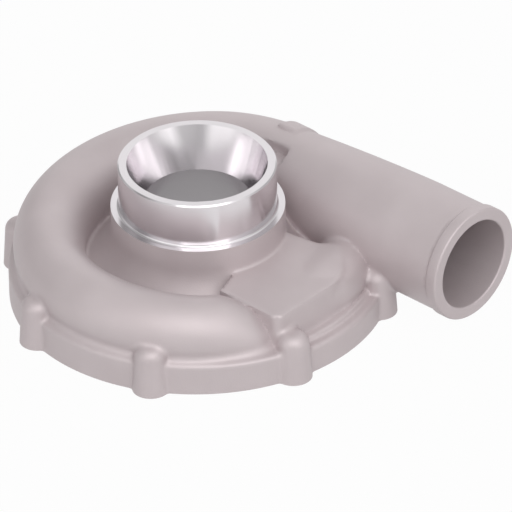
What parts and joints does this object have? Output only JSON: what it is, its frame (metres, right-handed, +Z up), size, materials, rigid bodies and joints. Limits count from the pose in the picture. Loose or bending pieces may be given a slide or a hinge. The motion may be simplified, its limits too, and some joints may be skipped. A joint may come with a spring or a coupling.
{
  "type": "turbo compressor housing",
  "caption": "Cast aluminium turbo compressor housing: a scroll that winds round a raised inlet spigot and grows into a side outlet pipe, on a bossed flange.",
  "frame": {"origin": "on the inlet axis, in the plane of the mounting face", "axes": "+Z up along the inlet, +X along the outlet pipe towards its mouth, +Y from the inlet towards the outlet pipe"},
  "size_m": [0.2251, 0.1996, 0.0743],
  "materials": {
    "compressor_housing": "bead-blasted casting with bright machined faces"
  },
  "bodies": {
    "root": {"compressor_housing": "compressor_housing"}
  },
  "joints": []
}
